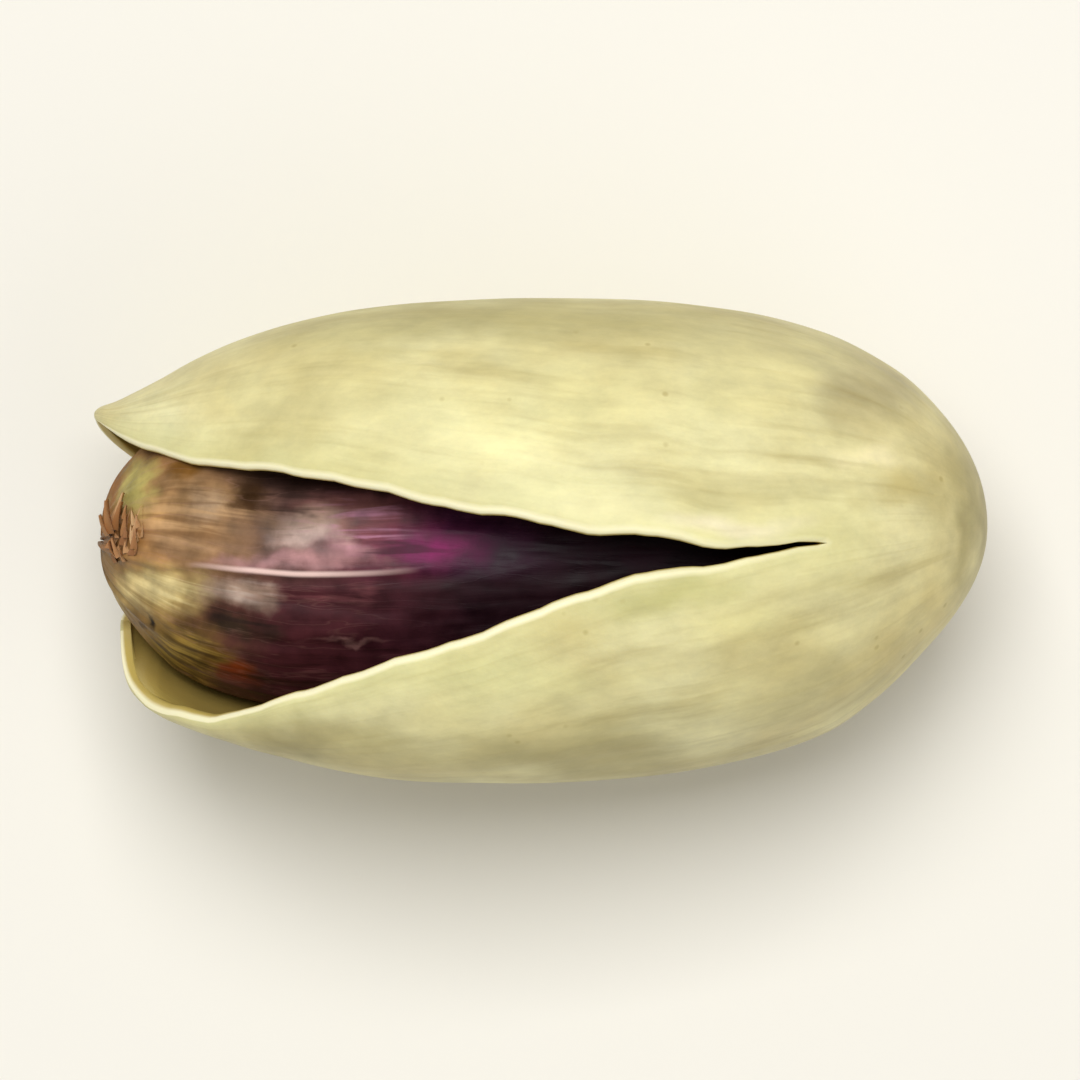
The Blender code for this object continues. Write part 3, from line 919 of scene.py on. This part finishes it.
def skin_material():
    """Pistachio kernel skin: a papery seed coat with net-like veins, drawn tight by drying.

    Purple to magenta where light reached it, browned and tan at the tip, with a soft gloss.
    Painted shade darkens it towards the stem end and along the far lip, and painted highlights lie
    on its ridge, in a thin pale line and in a whitish spot.
    """
    material, add = new_material("papery pistachio kernel skin")
    lay = add("Attribute", out="Vector", attribute_name="lay")
    aside = add("Attribute", out="Fac", attribute_name="aside")
    place = add("TexCoord", out="Object")
    part = add("SeparateXYZ", (lay,), out=None).outputs

    # The patches' borders wander by about 0.5 mm, over 1 mm and less
    spread = wandering(add, place, 1 / MM, 5.0, (1.8 * MM, 0.9 * MM, 0.0))
    along = add("SeparateXYZ", (spread,), out=None).outputs
    along = add("MapRange", (along[0], 6.7 * MM, -10.1 * MM))
    # Both ramps darken to near black towards the stem end, where the skin lies deep under the
    # narrowing split: painted shade over its purple
    far_side = add("ValToRGB", (along,), stops=(
        (0.0, "#1b1012"), (0.38, "#26101b"), (0.5, "#3c1630"), (0.6, "#5e2a3a"), (0.74, "#5e443c"),
        (0.88, "#8b6844"), (1.0, "#875c30"),
    ))
    near_side = add("ValToRGB", (along,), stops=(
        (0.0, "#190c0e"), (0.48, "#210d14"), (0.6, "#38171e"), (0.76, "#482024"),
        (0.84, "#563629"), (0.92, "#866636"), (1.0, "#86683e"),
    ))
    side = add("MapRange", (aside, -0.12, 0.04))
    colour = add("Mix RGBA", {0: side, 6: near_side, 7: far_side}, out=2)
    top = add("MapRange", (part[2], -0.5, -0.1))
    # The skin's patches, with a painted shadow along the far lip and painted highlights among them
    colour = patched(add, colour, spread, SKIN_TONES_LIGHT_AND_SHADE, top, soft=(0.15, 1.3))

    # Soft fibres 0.3 mm apart, and veins that are thin where a noise crosses its middle, both
    # drawn out lengthwise
    fibres = drawn_out(add, lay, (7.0, 12.0, 12.0), Detail=3.0, Distortion=0.8)
    for patches, start, end in ((LIGHT_FIBRES, 0.48, 0.66), (DARK_FIBRES, 0.5, 0.34)):
        seen = add("MapRange SMOOTHSTEP", (fibres, start, end))
        seen = add("Math MULTIPLY", (seen, top))
        colour = patched(add, colour, spread, patches, seen)
    phase = add("Math MULTIPLY", (fibres, 9.0))
    phase = add("Math MULTIPLY_ADD", (part[1], 80.0, phase))
    lines = add("Math SINE", (phase,))
    lines = add("MapRange", (lines, 0.2, 1.0))
    colour = patched(add, colour, spread, DARK_LINES, lines)
    net = drawn_out(add, lay, (6.0, 8.0, 8.0), Detail=3.0, Distortion=0.7)
    net = add("Math SUBTRACT", (net, 0.5))
    net = add("Math ABSOLUTE", (net,))
    veins = add("MapRange SMOOTHSTEP", (net, 0.0, 0.03, 1.0, 0.0))
    browner = add("Mix RGBA", {0: 0.25, 6: colour, 7: "#a0786a"}, out=2)
    tip = add("MapRange", (part[0], 0.55, 0.85, 0.0, 0.6))
    seen = add("Math MULTIPLY", (veins, tip))
    colour = add("Mix RGBA", {0: seen, 6: colour, 7: browner}, out=2)
    mottle = add("TexNoise", {"Vector": place, "Scale": 1.5 / MM, "Detail": 4.0})
    tone = add("MapRange", (mottle, 0.3, 0.7, 0.6, 1.35))
    colour = add("VectorMath SCALE", {0: colour, "Scale": tone})

    # The pale pink ridge, brightest in its middle: its own pale colour with a painted highlight
    # along the crest
    off = add("Math ABSOLUTE", (aside,))
    ridge = add("MapRange SMOOTHSTEP", (off, 0.004, 0.03, 1.0, 0.0))
    fade = add(
        "ValToRGB", (part[0],), stops=((0.55, 0), (0.63, 0.5), (0.7, 0.9), (0.78, 0.9), (0.87, 0))
    )
    ridge = add("Math MULTIPLY", (ridge, fade))
    colour = add("Mix RGBA", {0: ridge, 6: colour, 7: "#e6c6bd"}, out=2)

    relief = add("Math MULTIPLY_ADD", (veins, 0.15, fibres))
    bump = add("Bump", {"Strength": 0.3, "Distance": 0.05 * MM, "Height": relief})
    rough = add("MapRange", (mottle, 0.3, 0.7, 0.4, 0.62))
    shader = add("BsdfPrincipled", {
        "Base Color": colour, "Roughness": rough, "Normal": bump, "IOR": 1.45,
        "Specular IOR Level": 0.14,
    })
    add("OutputMaterial", (shader,), out=None)
    return material


def tuft_material():
    """Dried funicle fibres: the stalk end of the seed, brown, matt and papery."""
    material, add = new_material("dried papery seed stalk")
    tint = add("Attribute", out="Fac", attribute_name="tint")
    colour = add("ValToRGB", (tint,), stops=(
        (0.0, "#84552d"), (0.3, "#a57243"), (0.7, "#b58759"), (1.0, "#c49f70"),
    ))
    shader = add("BsdfPrincipled", {
        "Base Color": colour, "Roughness": 0.6, "Subsurface Weight": 0.1,
        "Subsurface Radius": (1.0, 0.5, 0.25), "Subsurface Scale": 0.2 * MM,
    })
    add("OutputMaterial", (shader,), out=None)
    return material


def tuft_tree():
    """Scatters curled flakes and fibres over the kernel's tip, and keeps them only."""
    tree, add, given = new_tree("seed_stalk_tuft", {
        "Longest": 0.9 * MM, "Spot": (-9.6 * MM, 0.05 * MM, 8.0 * MM), "Spread": 0.7 * MM,
        "Seed": 5,
    })
    place = add("InputPosition")
    gone = add("VectorMath SUBTRACT", (place, given["Spot"]))
    gone = add("VectorMath LENGTH", (gone,), out="Value")
    close = add("Compare LESS_THAN", (gone, given["Spread"]))
    points = add("DistributePointsOnFaces", {
        "Mesh": given["Geometry"], "Selection": close, "Distance Min": 0.14 * MM,
        "Density Max": 4e7, "Density Factor": 1.0, "Seed": given["Seed"],
    }, out=None, distribute_method="POISSON").outputs
    # A flake: a strip 1 long that narrows, bends down after the skin and lifts at its edges
    strip = {"Size X": 1.0, "Size Y": 0.5, "Vertices X": 9, "Vertices Y": 3}
    strip = add("MeshGrid", strip, out="Mesh")
    part = add("SeparateXYZ", (add("InputPosition"),), out=None).outputs
    reach = add("Math ADD", (part[0], 0.5))
    curl = add("Math POWER", (reach, 2.0))
    curl = add("Math MULTIPLY", (curl, -0.13))
    trough = add("Math POWER", (part[1], 2.0))
    curl = add("Math MULTIPLY_ADD", (trough, 2.0, curl))
    taper = add("MapRange", (reach, 0.2, 1.0, 1.0, 0.15))
    narrow = add("Math MULTIPLY", (part[1], taper))
    shape = add("CombineXYZ", (reach, narrow, curl))
    strip = add("SetPosition", {0: strip, "Position": shape})
    # Each lies along the skin and points to the far side, with a random turn
    tilt = add("RandomValue FLOAT", {"Min": -0.16, "Max": 0.03, "Seed": given["Seed"]}, out=1)
    spin = add("RandomValue FLOAT", {"Min": -0.35, "Max": 0.45, "Seed": 11}, out=1)
    spin = add("CombineXYZ", {2: spin})
    tilt = add("CombineXYZ", {1: tilt})
    aligned = add("AlignRotationToVector", {"Vector": points[1]}, axis="Z")
    aligned = add(
        "AlignRotationToVector", {"Rotation": aligned, "Vector": (-0.15, 1.0, 0.2)},
        axis="X", pivot_axis="Z",
    )
    for turn in (spin, tilt):
        aligned = add("RotateRotation", (aligned, turn), rotation_space="LOCAL")
    size = add("RandomValue FLOAT", {"Min": 0.3, "Max": 1.0, "Seed": 23}, out=1)
    size = add("Math MULTIPLY", (size, given["Longest"]))
    flakes = add("InstanceOnPoints", {
        "Points": points[0], "Instance": strip, "Rotation": aligned, "Scale": size,
    })
    tint = add("RandomValue FLOAT", {"Min": 0.0, "Max": 1.0, "Seed": 31}, out=1)
    flakes = add(
        "StoreNamedAttribute FLOAT", {0: flakes, "Name": "tint", "Value": tint},
        domain="INSTANCE",
    )
    close_tree(add, flakes, given["Material"])
    return tree


class PISTACHIO_OT_kernel(bpy.types.Operator):
    """Build the kernel"""

    bl_idname = "pistachio.kernel"
    bl_label = "Kernel"

    def execute(self, context):
        look = context.scene.pistachio_kernel
        low, high = KERNEL_BOX
        kernel = linked_object("kernel_in_skin", bpy.data.meshes.new("kernel"))
        grown(kernel, kernel_tree(), {
            "Length": high.x - low.x, "Half Width": (high.y - low.y) / 2,
            "Half Height": (high.z - low.z) / 2, "Ridge Height": look.ridge_height,
            "Fold Height": look.fold_height, "Vein Height": look.vein_height,
            "Material": skin_material(),
        })
        points = np.array([vertex.co for vertex in kernel.data.vertices])
        points = fitted(points @ LIE.T, low, high)
        kernel.data.vertices.foreach_set("co", points.astype(np.float32).ravel())
        kernel.data.update()
        finish_piece(kernel, "kernel")

        tuft = linked_object("seed_stalk_tuft", kernel.data.copy())
        grown(tuft, tuft_tree(), {"Longest": look.tuft_length, "Material": tuft_material()})
        finish_piece(tuft, None)
        return {"FINISHED"}


# --- the stage ---


def floor_material(colour):
    """Matt painted board: pale, even and without gloss."""
    material = bpy.data.materials.new("matt pale board")
    material.use_nodes = True
    shader = material.node_tree.nodes["Principled BSDF"]
    shader.inputs["Base Color"].default_value = colour
    shader.inputs["Roughness"].default_value = 0.9
    return material


def add_softbox(name, place, aim, width, watts):
    """A square area light at a place, aimed at a point."""
    light = bpy.data.lights.new(name, "AREA")
    light.size = width
    light.energy = watts
    box = linked_object(name, light)
    box.location = place
    box.rotation_mode = "QUATERNION"
    box.rotation_quaternion = (Vector(aim) - Vector(place)).to_track_quat("-Z", "Y")


class PISTACHIO_OT_stage(bpy.types.Operator):
    """Add the floor, the soft lights and the camera"""

    bl_idname = "pistachio.stage"
    bl_label = "Stage"

    def execute(self, context):
        look = context.scene.pistachio_stage
        low, high = CAD_BOUNDS
        middle = (low + high) / 2
        span = high.x - low.x
        mesh = bpy.data.meshes.new("floor")
        board = bmesh.new()
        bmesh.ops.create_grid(board, x_segments=1, y_segments=1, size=60 * span)
        board.to_mesh(mesh)
        board.free()
        mesh.materials.append(floor_material(look.floor))
        floor = linked_object("floor", mesh)
        floor.location = (0, 0, low.z)

        add_softbox("key_light", (-1 * span, 6 * span, 18 * span), middle, 10 * span, 1.3)
        add_softbox("fill_light", (10 * span, -9 * span, 12 * span), middle, 14 * span, 0.2)
        world = bpy.data.worlds.new("pale studio")
        world.use_nodes = True
        sky = world.node_tree.nodes["Background"].inputs
        sky["Color"].default_value = hex_colour("#f4f2ec")
        sky["Strength"].default_value = 0.42
        context.scene.world = world
        context.scene.view_settings.view_transform = "Standard"

        lens = bpy.data.cameras.new("camera")
        lens.lens = look.lens
        camera = linked_object("camera", lens)
        distance = span / look.fill * lens.lens / lens.sensor_width
        camera.location = middle + Vector((0, 0, distance + (high.z - low.z) / 4))
        lens.clip_start = 0.1 * distance
        lens.clip_end = 20 * distance
        context.scene.camera = camera
        return {"FINISHED"}


class PISTACHIO_PT_panel(bpy.types.Panel):
    """Lists the pieces of the nut and their settings."""

    bl_label = "Pistachio in Shell"
    bl_space_type = "VIEW_3D"
    bl_region_type = "UI"
    bl_category = "Pistachio"

    def draw(self, context):
        for operator, settings in (
            (PISTACHIO_OT_shell, context.scene.pistachio_shell),
            (PISTACHIO_OT_kernel, context.scene.pistachio_kernel),
            (PISTACHIO_OT_stage, context.scene.pistachio_stage),
        ):
            box = self.layout.box()
            box.operator(operator.bl_idname)
            for name in settings.bl_rna.properties.keys():
                if name not in ("rna_type", "name"):
                    box.prop(settings, name)


CLASSES = (
    ShellSettings, KernelSettings, StageSettings, PISTACHIO_OT_shell, PISTACHIO_OT_kernel,
    PISTACHIO_OT_stage, PISTACHIO_PT_panel,
)


def register():
    for item in CLASSES:
        bpy.utils.register_class(item)
    bpy.types.Scene.pistachio_shell = bpy.props.PointerProperty(type=ShellSettings)
    bpy.types.Scene.pistachio_kernel = bpy.props.PointerProperty(type=KernelSettings)
    bpy.types.Scene.pistachio_stage = bpy.props.PointerProperty(type=StageSettings)


def unregister():
    del bpy.types.Scene.pistachio_stage
    del bpy.types.Scene.pistachio_kernel
    del bpy.types.Scene.pistachio_shell
    for item in reversed(CLASSES):
        bpy.utils.unregister_class(item)


def main():
    register()
    bpy.ops.pistachio.shell()
    bpy.ops.pistachio.kernel()
    bpy.ops.pistachio.stage()


if __name__ == "__main__":
    main()
